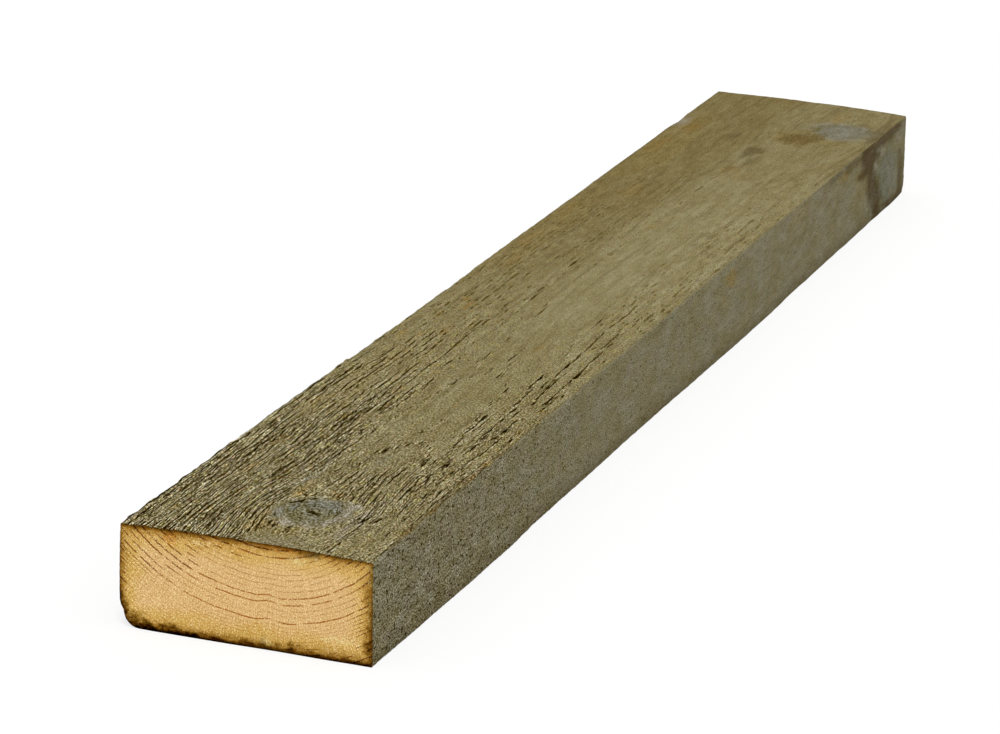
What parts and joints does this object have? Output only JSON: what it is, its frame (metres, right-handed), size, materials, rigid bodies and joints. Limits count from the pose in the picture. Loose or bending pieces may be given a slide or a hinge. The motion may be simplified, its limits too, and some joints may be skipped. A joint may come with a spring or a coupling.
{
  "type": "wood cladding board",
  "caption": "Short length of rough-sawn pressure-treated wood cladding board with a waned back edge, laid flat on its back face.",
  "frame": {"origin": "middle of the flat back face, halfway along the board", "axes": "+X along the grain towards the butt end, +Y across the width towards the waned edge, +Z from the back face to the exposed face"},
  "size_m": [0.5, 0.07, 0.0286],
  "materials": {
    "treated_wood": "rough-sawn softwood with an olive-grey preservative treatment, untreated orange heart on the crosscut ends"
  },
  "bodies": {
    "root": {"board": "treated_wood"}
  },
  "joints": []
}
